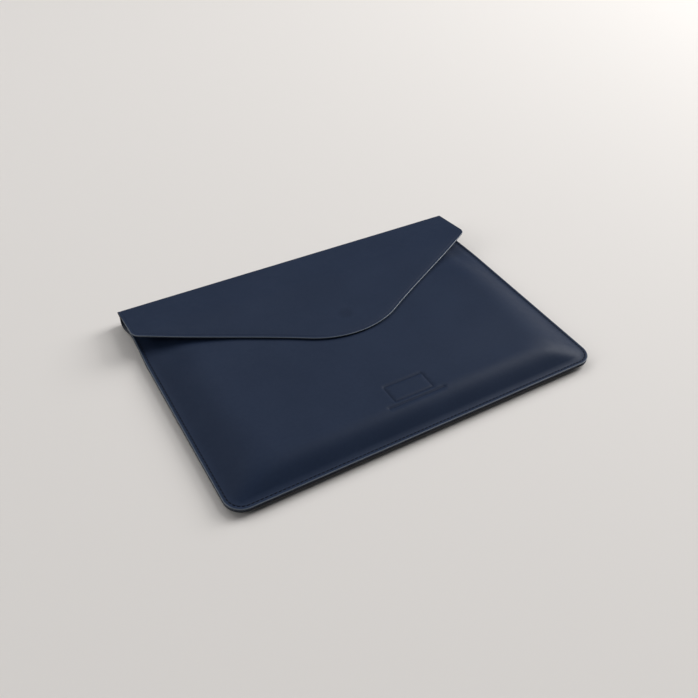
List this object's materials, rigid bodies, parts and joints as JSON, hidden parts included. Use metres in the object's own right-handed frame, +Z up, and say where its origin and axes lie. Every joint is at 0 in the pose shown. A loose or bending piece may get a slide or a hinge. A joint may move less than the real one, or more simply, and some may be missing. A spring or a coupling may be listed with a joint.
{
  "type": "laptop sleeve",
  "caption": "Flat padded leather sleeve for a slim laptop, with a sewn flange, a lined pocket and an envelope flap held shut by hidden magnets.",
  "frame": {"origin": "centre of the whole sleeve's footprint, on the surface it lies on, back down and flap closed", "axes": "+X along the long side, +Y towards the fold, +Z up through the front panel and the flap"},
  "size_m": [0.343, 0.237, 0.022],
  "materials": {
    "leather": "smooth navy leather, fine grain, low sheen, painted edges",
    "lining": "napped microfibre, dark blue grey",
    "foam": "thin padding foam, charcoal",
    "board": "bonded fibre board, matte",
    "magnet": "nickel plated disc",
    "thread": "bonded polyester thread, dark navy"
  },
  "bodies": {
    "pocket": {"back_leather": "leather", "back_foam": "foam", "back_lining": "lining", "front_leather": "leather", "front_foam": "foam", "front_lining": "lining", "mouth_facing": "leather", "front_magnet": "magnet", "seam_needle_thread": "thread", "seam_bobbin_thread": "thread", "mouth_needle_thread": "thread", "mouth_bobbin_thread": "thread"},
    "spine": {"spine_leather": "leather", "spine_lining": "lining"},
    "shoulder": {"shoulder_leather": "leather", "shoulder_lining": "lining"},
    "flap": {"flap_leather": "leather", "flap_board": "board", "flap_lining": "lining", "flap_magnet": "magnet"}
  },
  "joints": [
    {"name": "spine_fold", "type": "hinge", "parent": "pocket", "child": "spine", "pos_m": [0, 0.11764, 0.00086], "axis": [-1, 0, 0], "range_deg": [0, 89]},
    {"name": "crease_fold", "type": "hinge", "parent": "spine", "child": "shoulder", "pos_m": [0, 0.11779, 0.01537], "axis": [-1, 0, 0], "range_deg": [0, 81.6]},
    {"name": "shoulder_bend", "type": "hinge", "parent": "shoulder", "child": "flap", "pos_m": [0, 0.07348, 0.02178], "axis": [-1, 0, 0], "range_deg": [0, 7.6]}
  ],
  "couplings": [
    {"joint": "crease_fold", "follows": "spine_fold", "ratio": 0.9156},
    {"joint": "shoulder_bend", "follows": "spine_fold", "ratio": 0.0844}
  ]
}
